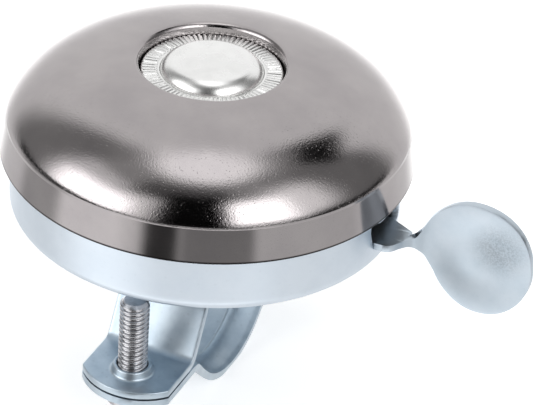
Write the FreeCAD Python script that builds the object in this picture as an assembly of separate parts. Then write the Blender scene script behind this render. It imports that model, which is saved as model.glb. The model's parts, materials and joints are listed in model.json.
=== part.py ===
import FreeCAD, Part
import math
import os

from FreeCAD import Vector

# Lever bell for a handlebar, in millimetres.
# X runs along the handlebar towards the thumb lever, Z is up, -Y is the rider's side.
# The origin is on the handlebar's axis, straight below the bell's centre post.

# --- driving dimensions -------------------------------------------------------
bar_radius = 11.1           # 22.2 mm handlebar
clamp_width = 12.6          # both clamp straps, along the bar
bracket_sheet = 1.0         # upper bracket
strap_sheet = 1.0           # lower strap
seat_gap = 0.05             # between bar and clamp

pan_radius = 26.06
pan_depth = 8.35            # underside to gong rim
pan_sheet = 0.9
pan_corner = 1.6
pan_overlap = 0.4           # pan wall reaches this far inside the gong

gong_radius = 27.5
gong_sheet = 1.0
dome_radius = 27.57         # superellipse of the dome's outside
dome_height = 14.57
dome_power = 2.63
dome_drop = 0.73            # superellipse centre below the rim
band_height = 4.24          # polished band at the rim
crease_radius = 26.5
lip_radius = 9.9            # edge of the crown's recess
recess_radius = 9.5
recess_depth = 3.3
foot_height = 0.9           # straight foot of the band
band_chamfer = 0.45

nut_radius = 9.18
nut_height = 1.6
nut_teeth = 84
groove_half = 0.16          # radial grooves of the ring nut
groove_depth = 0.14
cap_radius = 6.8
cap_rise = 2.0
cap_sink = 0.4              # cap's seat below the nut's top

slot_front = -3.85          # the lever rests against this end of its slot
slot_back = 5.8
post_tail = 1.9             # riveted ends in the pan's floor
pin_tail = 1.2
rivet_radius = 1.2
rivet_rows = (-7.2, 7.2)

ear_length = 25.65          # clamp ears, from the bar's axis
ear_corner = 22.6
ear_top = -2.45
ear_gap = 0.2               # between the two straps' ears
ear_bend = 1.8              # bend radii, on the middle of the sheet
flare_bend = 6.0
saddle_bend = 1.6
leg_reach = 11.15           # bracket's legs, middle of the sheet
flare_top = 4.3             # the legs lean outwards below this
flare_lean = 0.545          # sideways for each millimetre down
collar_foot = 3.1           # drawn collar round each tapped hole
collar_tip = 2.65
collar_height = 1.35
trough_half = 56.0          # degrees of bar under the strap, each side
rib_height = 0.55
rib_half_width = 1.8
rib_half_length = 8.2
hole_clearance = 0.3        # screw holes of the lower strap
screw_reach = 20.6          # clamp screws, from the bar's axis
screw_radius = 1.95         # M4
screw_length = 13.3
thread_clearance = 0.06
head_radius = 3.5
head_height = 2.4
head_round = 1.0
tip_chamfer = 0.45
recess_half_length = 1.9    # cross recess in the head
recess_half_width = 0.4
cross_depth = 1.1

gear_module = 0.6
pressure_angle = math.radians(25)
addendum = 0.8              # of the module
dedendum = 1.05             # of the module
backlash = 0.09
sector_teeth = 30           # full circle; only a few are cut
idler_pinion_teeth = 10
idler_gear_teeth = 26
rotor_teeth = 12

pivot_reach = 18.2          # lever pivot, along X from the centre post
pivot_offset = -0.3
lever_sheet = 1.0
lever_top = 16.0
paddle_face = 0.6           # front face of the paddle, Y
paddle_centre_x = 39.0
paddle_centre_z = 15.15
paddle_half_height = 8.05
paddle_half_inner = 8.95
paddle_half_outer = 7.0

arm_reach = 15.2            # striker rivets, from the centre post
arm_azimuth = 100.0         # at rest, degrees from X
washer_radius = 4.6
washer_hole = 2.5
washer_sheet = 2.0
lug_face = 20.3             # inner face of the gong's striker lugs
lug_sheet = 1.2
lug_width = 8.0
lug_bend = 5.0

running = 0.05              # radial clearance of the turning fits

# --- levels worked out from them ----------------------------------------------
plate_low = bar_radius + seat_gap
pan_low = plate_low + bracket_sheet
pan_floor = pan_low + pan_sheet
rim = pan_low + pan_depth
lever_low = lever_top - lever_sheet
recess_floor = rim + dome_height - dome_drop - recess_depth
crown_low = recess_floor - gong_sheet
cap_seat = recess_floor + nut_height - cap_sink

idler_low = lever_low - 0.45
idler_gear_low = lever_top + 0.45
idler_gear_top = idler_gear_low + 1.0
rotor_low = lever_top
arm_low = rotor_low + 2.5
arm_top = arm_low + 1.0
washer_low = arm_top + 0.1
washer_top = washer_low + washer_sheet
journal_top = arm_top + 0.5

pivot = Vector(pivot_reach, pivot_offset, 0)
sector_to_idler = gear_module * (sector_teeth + idler_pinion_teeth) / 2
idler_to_rotor = gear_module * (idler_gear_teeth + rotor_teeth) / 2


def idler_place():
    """Crossing of the two mesh circles, on the far side of the lever."""
    reach = pivot.Length
    cosine = (idler_to_rotor ** 2 + reach ** 2 - sector_to_idler ** 2) / (2 * idler_to_rotor * reach)
    angle = math.atan2(pivot.y, pivot.x) + math.acos(cosine)
    return Vector(idler_to_rotor * math.cos(angle), idler_to_rotor * math.sin(angle), 0)


idler = idler_place()


# --- helpers ------------------------------------------------------------------
def cylinder(radius, low, high, at=Vector(0, 0, 0)):
    return Part.makeCylinder(radius, high - low, Vector(at.x, at.y, low))


def tube(outer, inner, low, high, at=Vector(0, 0, 0)):
    return cylinder(outer, low, high, at).cut(cylinder(inner, low - 1, high + 1, at))


def box(x0, x1, y0, y1, z0, z1):
    return Part.makeBox(x1 - x0, y1 - y0, z1 - z0, Vector(x0, y0, z0))


def polar(radius, degrees, at=Vector(0, 0, 0)):
    angle = math.radians(degrees)
    return Vector(at.x + radius * math.cos(angle), at.y + radius * math.sin(angle), 0)


def turned(edges):
    """Solid of revolution about Z from edges of a closed outline in the XZ plane."""
    face = Part.Face(Part.Wire(Part.__sortEdges__(edges)))
    return face.revolve(Vector(0, 0, 0), Vector(0, 0, 1), 360)


def line(a, b):
    return Part.LineSegment(a, b).toShape()


def spline(points):
    curve = Part.BSplineCurve()
    curve.interpolate(points)
    return curve.toShape()


def rounded_path(points, radii):
    """Straight runs joined by tangent arcs; one radius for each inner point."""
    edges = []
    start = points[0]
    for i, radius in enumerate(radii):
        corner = points[i + 1]
        back = (points[i] - corner).normalize()
        ahead = (points[i + 2] - corner).normalize()
        half = back.getAngle(ahead) / 2
        cut = radius / math.tan(half)
        first = corner + back * cut
        last = corner + ahead * cut
        to_centre = (back + ahead).normalize()
        middle = corner + to_centre * (radius / math.sin(half) - radius)
        edges.append(line(start, first))
        edges.append(Part.Arc(first, middle, last).toShape())
        start = last
    edges.append(line(start, points[-1]))
    return edges


def offset_points(points, distance):
    """Corner points of the path moved sideways, to the left of its direction, in the YZ plane."""
    normals = []
    for i in range(len(points) - 1):
        along = (points[i + 1] - points[i]).normalize()
        normals.append(Vector(0, -along.z, along.y))
    moved = [points[0] + normals[0] * distance]
    for i in range(1, len(points) - 1):
        total = normals[i - 1] + normals[i]
        moved.append(points[i] + total * (distance / (1 + normals[i - 1].dot(normals[i]))))
    moved.append(points[-1] + normals[-1] * distance)
    return moved


def folded_strip(points, radii, sheet, width):
    """Sheet strip of constant thickness and width whose centre line is a rounded path in YZ."""
    sides = []
    for sign in (1, -1):
        side_radii = []
        for i, radius in enumerate(radii):
            a = points[i + 1] - points[i]
            b = points[i + 2] - points[i + 1]
            turns_left = a.cross(b).x > 0
            side_radii.append(radius - sign * sheet / 2 * (1 if turns_left else -1))
        sides.append((offset_points(points, sign * sheet / 2), side_radii))
    left = rounded_path(*sides[0])
    right = rounded_path(*sides[1])
    ends = [line(sides[0][0][0], sides[1][0][0]), line(sides[0][0][-1], sides[1][0][-1])]
    face = Part.Face(Part.Wire(Part.__sortEdges__(left + right + ends)))
    face.translate(Vector(-width / 2, 0, 0))
    return face.extrude(Vector(width, 0, 0))


def yz(y, z):
    return Vector(0, y, z)


def gear(teeth, low, high, at, turn):
    """Involute spur gear; turn is the direction of one tooth's middle, in degrees."""
    pitch = gear_module * teeth / 2
    base = pitch * math.cos(pressure_angle)
    tip = pitch + addendum * gear_module
    root = pitch - dedendum * gear_module
    half_tooth = (math.pi * gear_module / 2 - backlash / 2) / 2 / pitch
    involute_pitch = math.tan(pressure_angle) - pressure_angle

    def half_angle(radius):
        if radius <= base:
            return half_tooth + involute_pitch
        roll = math.acos(base / radius)
        return half_tooth + involute_pitch - (math.tan(roll) - roll)

    def at_angle(radius, angle):
        return Vector(at.x + radius * math.cos(angle), at.y + radius * math.sin(angle), low)

    start = max(base, root)
    steps = [start + (tip - start) * i / 4 for i in range(5)]
    step = 2 * math.pi / teeth
    edges = []
    for tooth in range(teeth):
        middle = math.radians(turn) + tooth * step
        rising = [at_angle(r, middle - half_angle(r)) for r in steps]
        falling = [at_angle(r, middle + half_angle(r)) for r in reversed(steps)]
        edges.append(spline(rising))
        edges.append(Part.Arc(rising[-1], at_angle(tip, middle), falling[0]).toShape())
        edges.append(spline(falling))
        leave = middle + half_angle(start)
        arrive = middle + step - half_angle(start)
        foot = at_angle(root, leave)
        next_foot = at_angle(root, arrive)
        if start > root + 1e-6:
            edges.append(line(falling[-1], foot))
            edges.append(line(next_foot, at_angle(start, arrive)))
        edges.append(Part.Arc(foot, at_angle(root, middle + step / 2), next_foot).toShape())
    face = Part.Face(Part.Wire(Part.__sortEdges__(edges)))
    return face.extrude(Vector(0, 0, high - low))


# --- shell: gong, nut, pan -----------------------------------------------------
def dome_r(z, inset):
    """Radius of the dome's superellipse at height z above the rim, moved in by inset."""
    share = (z + dome_drop) / (dome_height - inset)
    return (dome_radius - inset) * (1 - share ** dome_power) ** (1 / dome_power)


def dome_z(r, inset):
    share = r / (dome_radius - inset)
    return (dome_height - inset) * (1 - share ** dome_power) ** (1 / dome_power) - dome_drop


def dome_curve(inner_r, low_z, inset):
    """Spline from the crown's edge down to low_z, even in angle round the superellipse."""
    first = math.atan2(dome_z(inner_r, inset) + dome_drop, inner_r)
    last = math.atan2(low_z + dome_drop, dome_r(low_z, inset))
    points = []
    for i in range(9):
        angle = first + (last - first) * i / 8
        share = (abs(math.cos(angle)) / (dome_radius - inset)) ** dome_power
        share += (abs(math.sin(angle)) / (dome_height - inset)) ** dome_power
        reach = share ** (-1 / dome_power)
        points.append(Vector(reach * math.cos(angle), 0, rim - dome_drop + reach * math.sin(angle)))
    return points


def make_gong():
    """Pressed shell: band, crease, dome, and a recess with a turned-in lip at the crown."""
    outside = dome_curve(lip_radius + 0.3, band_height + band_chamfer, 0)
    inside = dome_curve(recess_radius + gong_sheet + 0.8, band_height, gong_sheet)
    lip_top = outside[0]
    lip_edge = Vector(recess_radius, 0, lip_top.z - 0.6)
    lip_middle = Vector(recess_radius + 0.16, 0, lip_top.z - 0.12)
    floor_out = Vector(recess_radius, 0, recess_floor)
    floor_in = Vector(2.1, 0, recess_floor)
    under_in = Vector(2.1, 0, crown_low)
    under_out = Vector(recess_radius + gong_sheet, 0, crown_low)
    shoulder = Vector(recess_radius + gong_sheet, 0, inside[0].z - 0.5)
    crease = Vector(crease_radius, 0, rim + band_height)
    band_top = Vector(gong_radius - band_chamfer, 0, rim + band_height - band_chamfer)
    band_foot = Vector(gong_radius, 0, rim + foot_height)
    foot_out = Vector(gong_radius, 0, rim)
    foot_in = Vector(gong_radius - gong_sheet, 0, rim)
    outline = [spline(outside), line(outside[-1], crease), line(crease, band_top)]
    outline += [line(band_top, band_foot), line(band_foot, foot_out), line(foot_out, foot_in)]
    outline += [line(foot_in, inside[-1]), spline(inside), line(inside[0], shoulder)]
    outline += [line(shoulder, under_out), line(under_out, under_in), line(under_in, floor_in)]
    outline += [line(floor_in, floor_out), line(floor_out, lip_edge)]
    outline += [Part.Arc(lip_edge, lip_middle, lip_top).toShape()]
    return turned(outline)


def make_centre_nut():
    """Ring nut with a seat for the cap and radial grooves pressed into its top face."""
    top = recess_floor + nut_height
    body = cylinder(nut_radius, recess_floor, top)
    body = body.cut(cylinder(cap_radius + 0.05, cap_seat, top + 1))
    body = body.cut(cylinder(2.0, recess_floor - 1, top))
    cutters = []
    for i in range(nut_teeth):
        cutter = box(cap_radius + 0.45, nut_radius + 1, -groove_half, groove_half,
                     top - groove_depth, top + 1)
        cutter.rotate(Vector(0, 0, 0), Vector(0, 0, 1), 360 * i / nut_teeth)
        cutters.append(cutter)
    return body.cut(Part.makeCompound(cutters))


def make_nut_cap():
    """Low polished dome with a rounded shoulder, over the end of the centre post."""
    shoulder = 0.7
    side_top = cap_seat + 0.6
    crown = cap_seat + cap_rise
    low_in = Vector(2.2, 0, cap_seat)
    low_out = Vector(cap_radius, 0, cap_seat)
    side = Vector(cap_radius, 0, side_top)
    bend = Vector(cap_radius - 0.2 * shoulder, 0, side_top + 0.45 * shoulder)
    edge = Vector(cap_radius - shoulder, 0, side_top + 0.75 * shoulder)
    rise = crown - edge.z
    dome = (edge.x ** 2 + rise ** 2) / (2 * rise)
    half = math.asin(edge.x / dome) / 2
    middle = Vector(dome * math.sin(half), 0, crown - dome * (1 - math.cos(half)))
    top = Vector(0, 0, crown)
    hole = cap_seat + 1.1
    edges = [line(low_in, low_out), line(low_out, side), Part.Arc(side, bend, edge).toShape()]
    edges += [Part.Arc(edge, middle, top).toShape(), line(top, Vector(0, 0, hole))]
    edges += [line(Vector(0, 0, hole), Vector(2.2, 0, hole)), line(Vector(2.2, 0, hole), low_in)]
    return turned(edges)


def make_base_pan():
    """Shallow pressed pan with a rounded bottom edge and the lever's slot in its wall."""
    inner = pan_radius - pan_sheet
    corner_in = pan_corner - pan_sheet
    top = rim + pan_overlap
    out_mid = pan_corner * (1 - math.sqrt(0.5))
    in_mid = corner_in * (1 - math.sqrt(0.5))
    edges = [line(Vector(0, 0, pan_low), Vector(pan_radius - pan_corner, 0, pan_low))]
    edges += [Part.Arc(Vector(pan_radius - pan_corner, 0, pan_low),
                       Vector(pan_radius - out_mid, 0, pan_low + out_mid),
                       Vector(pan_radius, 0, pan_low + pan_corner)).toShape()]
    edges += [line(Vector(pan_radius, 0, pan_low + pan_corner), Vector(pan_radius, 0, top))]
    edges += [line(Vector(pan_radius, 0, top), Vector(inner, 0, top))]
    edges += [line(Vector(inner, 0, top), Vector(inner, 0, pan_floor + corner_in))]
    edges += [Part.Arc(Vector(inner, 0, pan_floor + corner_in),
                       Vector(inner - in_mid, 0, pan_floor + in_mid),
                       Vector(inner - corner_in, 0, pan_floor)).toShape()]
    edges += [line(Vector(inner - corner_in, 0, pan_floor), Vector(0, 0, pan_floor))]
    edges += [line(Vector(0, 0, pan_floor), Vector(0, 0, pan_low))]
    pan = turned(edges)
    slot = box(20, 30, slot_front, slot_back, lever_low - 0.2, lever_top + 2.4)
    pan = pan.cut(slot)
    for radius, place in ((post_tail, Vector(0, 0, 0)), (pin_tail, pivot), (pin_tail, idler)):
        pan = pan.cut(cylinder(radius, pan_low - 1, pan_floor + 1, place))
    for y in rivet_rows:
        pan = pan.cut(cylinder(rivet_radius, pan_low - 1, pan_floor + 1, Vector(0, y, 0)))
    return pan


# --- clamp ----------------------------------------------------------------------
def ear_outline(low, high):
    """Plan of a clamp strap: straight sides and arc-shaped ends."""
    half = clamp_width / 2
    corners = [Vector(-half, -ear_corner, low), Vector(half, -ear_corner, low),
               Vector(half, ear_corner, low), Vector(-half, ear_corner, low)]
    front = Part.Arc(corners[0], Vector(0, -ear_length, low), corners[1]).toShape()
    back = Part.Arc(corners[2], Vector(0, ear_length, low), corners[3]).toShape()
    wire = Part.Wire([front, line(corners[1], corners[2]), back, line(corners[3], corners[0])])
    return Part.Face(wire).extrude(Vector(0, 0, high - low))


def make_upper_bracket():
    """Saddle plate, two legs that flare outwards, and two ears with tapped collars."""
    plate = plate_low + bracket_sheet / 2
    ear = ear_top - bracket_sheet / 2
    foot = leg_reach + (flare_top - ear) * flare_lean
    past = ear_length + 1
    points = [yz(-past, ear), yz(-foot, ear), yz(-leg_reach, flare_top), yz(-leg_reach, plate)]
    points += [yz(leg_reach, plate), yz(leg_reach, flare_top), yz(foot, ear), yz(past, ear)]
    bends = [ear_bend, flare_bend, saddle_bend, saddle_bend, flare_bend, ear_bend]
    strip = folded_strip(points, bends, bracket_sheet, clamp_width)
    bracket = strip.common(ear_outline(ear_top - 5, pan_low + 1))
    for side in (-1, 1):
        at = Vector(0, side * screw_reach, 0)
        foot_at = Vector(at.x, at.y, ear_top - 0.05)
        collar = Part.makeCone(collar_foot, collar_tip, collar_height, foot_at)
        bracket = bracket.fuse(collar)
        bracket = bracket.cut(cylinder(screw_radius + thread_clearance, ear_top - 3, ear_top + 3, at))
    for y in rivet_rows:
        bracket = bracket.cut(cylinder(rivet_radius, plate_low - 1, pan_low + 1, Vector(0, y, 0)))
    bracket = bracket.cut(cylinder(post_tail, plate_low - 1, pan_low + 1))
    return bracket.cut(post_peen()).removeSplitter()


def post_peen():
    """Countersunk end of the centre post, flush with the saddle plate."""
    return Part.makeCone(post_tail + 0.7, post_tail, 0.7, Vector(0, 0, plate_low))


def make_lower_strap():
    """Two ears and a trough round the underside of the bar, with a rib along its outside."""
    seat = bar_radius + seat_gap
    middle = seat + strap_sheet / 2
    slope = math.radians(trough_half)
    ear = ear_top - bracket_sheet - ear_gap - strap_sheet / 2
    vertex = -middle / math.cos(slope)
    bend = (ear - vertex) / math.tan(slope)
    past = ear_length + 1
    points = [yz(-past, ear), yz(-bend, ear), yz(0, vertex), yz(bend, ear), yz(past, ear)]
    strip = folded_strip(points, [ear_bend, middle, ear_bend], strap_sheet, clamp_width)
    strap = strip.common(ear_outline(-20, 0))
    outside = seat + strap_sheet
    ring = tube(outside + rib_height, outside - 0.1, -rib_half_width, rib_half_width)
    ring.rotate(Vector(0, 0, 0), Vector(0, 1, 0), 90)
    rib = ring.common(box(-3, 3, -rib_half_length, rib_half_length, -14, 0))
    strap = strap.fuse(rib)
    for side in (-1, 1):
        at = Vector(0, side * screw_reach, 0)
        strap = strap.cut(cylinder(screw_radius + hole_clearance, -8, 0, at))
    return strap.removeSplitter()


def make_clamp_screw(side):
    """Pan-head screw from below, with a chamfered flat tip; the thread is a plain cylinder."""
    bearing = ear_top - bracket_sheet - ear_gap - strap_sheet
    tip = bearing + screw_length
    at = Vector(0, side * screw_reach, 0)
    shank = cylinder(screw_radius, bearing - 0.5, tip - tip_chamfer, at)
    end = Part.makeCone(screw_radius, screw_radius - tip_chamfer, tip_chamfer,
                        Vector(at.x, at.y, tip - tip_chamfer))
    head = cylinder(head_radius, bearing - head_height, bearing, at)
    rim_edges = [e for e in head.Edges if abs(e.BoundBox.ZMax - (bearing - head_height)) < 1e-6]
    rim_edges = [e for e in rim_edges if e.BoundBox.ZLength < 1e-6]
    head = head.makeFillet(head_round, rim_edges)
    low = bearing - head_height
    for turn in (0, 90):
        slot = box(-recess_half_length, recess_half_length, -recess_half_width, recess_half_width,
                   low - 1, low + cross_depth)
        slot.rotate(Vector(0, 0, 0), Vector(0, 0, 1), turn + 20)
        slot.translate(at)
        head = head.cut(slot)
    return shank.fuse([end, head]).removeSplitter()


def make_bracket_rivets():
    """Two rivets that hold the saddle plate under the pan."""
    rivets = []
    for y in rivet_rows:
        at = Vector(0, y, 0)
        shank = cylinder(rivet_radius, plate_low, pan_floor, at)
        low = Part.makeCone(rivet_radius + 0.1, rivet_radius + 0.7, 0.6, Vector(0, y, plate_low - 0.6))
        high = Part.makeCone(rivet_radius + 0.8, rivet_radius + 0.3, 0.6, Vector(0, y, pan_floor))
        rivets.append(shank.fuse([low, high]).removeSplitter())
    return Part.makeCompound(rivets)


# --- mechanism --------------------------------------------------------------------
def make_centre_post():
    """Shouldered post: flange, stand, journal for the rotor, and the thread for the gong."""
    post = cylinder(post_tail, plate_low, pan_floor)
    post = post.fuse([post_peen(), cylinder(4.0, pan_floor, pan_floor + 0.8),
                      cylinder(2.9, pan_floor, rotor_low - 0.05),
                      cylinder(2.3, rotor_low - 0.1, journal_top),
                      cylinder(screw_radius, journal_top - 0.1, cap_seat + 0.9)])
    return post.removeSplitter()


def make_spacer_sleeve():
    """Sleeve on the post's upper shoulder; keeps the rotor down and carries the gong."""
    return tube(3.4, screw_radius + 0.05, journal_top, crown_low - lug_sheet)


def make_striker_bracket():
    """Strip under the crown with two lugs turned down into the washers' path."""
    high = crown_low
    reach = lug_face + lug_sheet / 2
    low = washer_low + 0.4
    middle = high - lug_sheet / 2
    points = [yz(-reach, low), yz(-reach, middle), yz(reach, middle), yz(reach, low)]
    strip = folded_strip(points, [lug_bend, lug_bend], lug_sheet, lug_width)
    strip.rotate(Vector(0, 0, 0), Vector(0, 0, 1), 90)
    return strip.cut(cylinder(2.05, high - 3, high + 1))


def make_pivot_pin():
    """Shouldered rivet for the lever, with a groove for its clip."""
    pin = cylinder(pin_tail, pan_low, pan_floor, pivot)
    pin = pin.fuse([cylinder(2.0, pan_floor, lever_low - 0.05, pivot),
                    cylinder(1.5, lever_low - 0.1, lever_top + 0.85, pivot)])
    pin = pin.cut(tube(3, 1.15, lever_top + 0.08, lever_top + 0.52, pivot))
    return pin.removeSplitter()


def make_idler_pin():
    pin = cylinder(pin_tail, pan_low, pan_floor, idler)
    pin = pin.fuse([cylinder(1.9, pan_floor, idler_low - 0.05, idler),
                    cylinder(1.2, idler_low - 0.1, idler_gear_top + 0.75, idler)])
    pin = pin.cut(tube(3, 0.9, idler_gear_top + 0.08, idler_gear_top + 0.52, idler))
    return pin.removeSplitter()


def make_clip(at, groove_radius, outer, low):
    """C-shaped retaining ring, 0.4 thick, open towards -Y."""
    clip = tube(outer, groove_radius, low, low + 0.4, at)
    return clip.cut(box(at.x - groove_radius * 0.8, at.x + groove_radius * 0.8,
                        at.y - outer - 1, at.y, low - 1, low + 2))


def make_return_spring():
    """Torsion spring round the pivot pin: one leg on the post's flange, one up into the lever."""
    wire = 0.25
    coil = 2.75
    low = pan_floor + wire + 0.1
    turns = 2.5
    pitch = 0.54
    helix = Part.makeHelix(pitch, pitch * turns, coil)
    section = Part.Wire(Part.makeCircle(wire, Vector(coil, 0, 0), Vector(0, 1, 0)))
    body = Part.Wire(helix.Edges).makePipeShell([section], True, True)
    body.translate(Vector(pivot.x, pivot.y, low))
    start = Vector(pivot.x + coil, pivot.y, low)
    low_leg = Part.makeCylinder(wire, 4.5, start, Vector(0, -1, 0))
    finish = Vector(pivot.x - coil, pivot.y, low + pitch * turns)
    high_leg = Part.makeCylinder(wire, 2.6, finish, Vector(0, -1, 0))
    elbow = Part.makeSphere(wire, finish + Vector(0, -2.6, 0))
    hook = Part.makeCylinder(wire, 1.6, finish + Vector(0, -2.6, 0), Vector(0, 0, 1))
    return body.fuse([low_leg, high_leg, elbow, hook])


def hook_hole():
    """Where the spring's upper leg passes up through the lever."""
    return Vector(pivot.x - 2.75, pivot.y - 2.6, 0)


def lever_plate():
    """Flat part of the lever: gear sector, pivot boss and the strip out through the slot."""
    low = lever_low
    mesh = math.degrees(math.atan2(idler.y - pivot.y, idler.x - pivot.x))
    wheel = gear(sector_teeth, low, lever_top, pivot, mesh)
    wedge = [pivot + Vector(0, 0, low)]
    for degrees in (mesh + 14, mesh - 10, mesh - 34):
        wedge.append(polar(14, degrees, pivot) + Vector(0, 0, low))
    wedge.append(wedge[0])
    fan = Part.Face(Part.makePolygon(wedge)).extrude(Vector(0, 0, lever_sheet))
    plate = wheel.common(fan)
    plate = plate.fuse(cylinder(4.6, low, lever_top, pivot))
    front = -3.66
    corners = [Vector(pivot.x, front, low), Vector(27.0, front, low), Vector(29.7, 1.5, low)]
    corners += [Vector(25.5, 3.1, low), Vector(pivot.x, 4.2, low), Vector(pivot.x, front, low)]
    edges = [line(corners[0], corners[1])]
    edges.append(Part.Arc(corners[1], Vector(28.9, -1.4, low), corners[2]).toShape())
    edges += [line(corners[i], corners[i + 1]) for i in (2, 3, 4)]
    plate = plate.fuse(Part.Face(Part.Wire(edges)).extrude(Vector(0, 0, lever_sheet)))
    plate = plate.cut(cylinder(1.5 + running, low - 1, lever_top + 1, pivot))
    return plate.cut(cylinder(0.45, low - 1, lever_top + 1, hook_hole()))


def paddle_outline():
    """Side view of fold and paddle: neck, and two half ellipses of different widths."""
    centre = Vector(paddle_centre_x, -10, paddle_centre_z)
    half = paddle_half_height
    left_end = centre + Vector(-paddle_half_inner, 0, 0)
    right_end = centre + Vector(paddle_half_outer, 0, 0)
    top = centre + Vector(0, 0, half)
    bottom = centre + Vector(0, 0, -half)
    inner = Part.Ellipse(left_end, top, centre)
    outer = Part.Ellipse(top, right_end, centre)
    left = Part.ArcOfEllipse(inner, math.pi / 2, 3 * math.pi / 2).toShape()
    if left.BoundBox.XMax > paddle_centre_x + 0.1:
        left = Part.ArcOfEllipse(inner, -math.pi / 2, math.pi / 2).toShape()
    right = Part.ArcOfEllipse(outer, 0, math.pi).toShape()
    if right.BoundBox.XMin < paddle_centre_x - 0.1:
        right = Part.ArcOfEllipse(outer, math.pi, 2 * math.pi).toShape()
    close = line(top, bottom)
    faces = [Part.Face(Part.Wire([left, close])), Part.Face(Part.Wire([right, close]))]
    oval = faces[0].extrude(Vector(0, 20, 0)).fuse(faces[1].extrude(Vector(0, 20, 0)))
    neck = [Vector(26.9, -10, lever_top), Vector(26.9, -10, lever_low), Vector(28.4, -10, lever_low),
            Vector(29.8, -10, 13.7), Vector(31.6, -10, 13.0), Vector(31.6, -10, 17.6),
            Vector(30.2, -10, lever_top), Vector(26.9, -10, lever_top)]
    return oval.fuse(Part.Face(Part.makePolygon(neck)).extrude(Vector(0, 20, 0)))


def make_thumb_lever():
    """Stamped lever: flat plate, a fold down at its outer end, and an upright oval paddle."""
    mid = paddle_face + lever_sheet / 2
    # drawn as plan outlines standing in YZ, then laid over so that Z becomes X
    points = [yz(-3.35, 27.1), yz(mid, 29.5), yz(mid, 47.0)]
    strip = folded_strip(points, [1.6], lever_sheet, 20.0)
    strip.rotate(Vector(0, 0, 0), Vector(0, 1, 0), 90)
    strip.translate(Vector(0, 0, paddle_centre_z))
    flange = strip.common(paddle_outline())
    return lever_plate().fuse(flange).removeSplitter()


def make_idler_pinion():
    """Pinion in mesh with the lever's sector, with a hub that the idler gear is pressed on."""
    away = math.degrees(math.atan2(pivot.y - idler.y, pivot.x - idler.x))
    pinion = gear(idler_pinion_teeth, idler_low, idler_gear_low, idler, away + 180 / idler_pinion_teeth)
    pinion = pinion.fuse(cylinder(2.0, idler_gear_low - 0.1, idler_gear_top, idler))
    return pinion.cut(cylinder(1.2 + running, idler_low - 1, idler_gear_top + 1, idler))


def make_idler_gear():
    away = math.degrees(math.atan2(-idler.y, -idler.x))
    wheel = gear(idler_gear_teeth, idler_gear_low, idler_gear_top, idler, away)
    wheel = wheel.cut(cylinder(2.0, idler_gear_low - 1, idler_gear_top + 1, idler))
    for degrees in (30, 150, 270):
        hole = cylinder(1.4, idler_gear_low - 1, idler_gear_top + 1, polar(4.6, degrees, idler))
        wheel = wheel.cut(hole)
    return wheel


def make_rotor_pinion():
    """Pinion on the centre post, with a hub staked into the rotor arm."""
    away = math.degrees(math.atan2(idler.y, idler.x))
    origin = Vector(0, 0, 0)
    pinion = gear(rotor_teeth, rotor_low, arm_low, origin, away + 180 / rotor_teeth)
    pinion = pinion.fuse(cylinder(2.95, arm_low - 0.1, arm_top + 0.2))
    return pinion.cut(cylinder(2.3 + running, rotor_low - 1, arm_top + 1))


def make_rotor_arm():
    """Two-ended arm with round ends and a round middle."""
    arm = box(-arm_reach, arm_reach, -2.8, 2.8, arm_low, arm_top)
    arm = arm.fuse([cylinder(3.4, arm_low, arm_top, Vector(side * arm_reach, 0, 0)) for side in (-1, 1)])
    arm = arm.fuse(cylinder(5.4, arm_low, arm_top))
    arm = arm.cut(cylinder(2.95, arm_low - 1, arm_top + 1))
    for side in (-1, 1):
        arm = arm.cut(cylinder(1.5, arm_low - 1, arm_top + 1, Vector(side * arm_reach, 0, 0)))
    arm.rotate(Vector(0, 0, 0), Vector(0, 0, 1), arm_azimuth)
    return arm.removeSplitter()


def make_striker_rivets():
    rivets = []
    for turn in (0, 180):
        at = polar(arm_reach, arm_azimuth + turn)
        shank = cylinder(1.5, arm_low, washer_top + 0.15, at)
        head = cylinder(3.6, washer_top + 0.1, washer_top + 0.8, at)
        rivets.append(shank.fuse(head).removeSplitter())
    return Part.makeCompound(rivets)


def make_striker_washer(turn):
    at = polar(arm_reach, arm_azimuth + turn)
    return tube(washer_radius, washer_hole, washer_low, washer_top, at)


def main():
    nodes = {
        "gong": make_gong(),
        "centre_nut": make_centre_nut(),
        "nut_cap": make_nut_cap(),
        "base_pan": make_base_pan(),
        "thumb_lever": make_thumb_lever(),
        "upper_bracket": make_upper_bracket(),
        "lower_strap": make_lower_strap(),
        "front_clamp_screw": make_clamp_screw(-1),
        "rear_clamp_screw": make_clamp_screw(1),
        "bracket_rivets": make_bracket_rivets(),
        "centre_post": make_centre_post(),
        "spacer_sleeve": make_spacer_sleeve(),
        "gong_striker_bracket": make_striker_bracket(),
        "lever_pivot_pin": make_pivot_pin(),
        "lever_clip": make_clip(pivot, 1.2, 2.8, lever_top + 0.1),
        "return_spring": make_return_spring(),
        "idler_pin": make_idler_pin(),
        "idler_clip": make_clip(idler, 0.95, 2.2, idler_gear_top + 0.1),
        "idler_pinion": make_idler_pinion(),
        "idler_gear": make_idler_gear(),
        "rotor_pinion": make_rotor_pinion(),
        "rotor_arm": make_rotor_arm(),
        "striker_rivets": make_striker_rivets(),
        "striker_washer_a": make_striker_washer(0),
        "striker_washer_b": make_striker_washer(180),
    }
    os.makedirs("parts", exist_ok=True)
    for name, shape in nodes.items():
        shape.exportStep("parts/" + name + ".step")
        box_size = shape.BoundBox
        size = (round(box_size.XLength, 1), round(box_size.YLength, 1), round(box_size.ZLength, 1))
        print(name, "solids", len(shape.Solids), "valid", shape.isValid(), "size", size,
              "volume", round(shape.Volume, 1))


main()
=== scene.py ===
import json
import bmesh
import bpy
import numpy as np
from mathutils import Matrix, Vector

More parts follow.
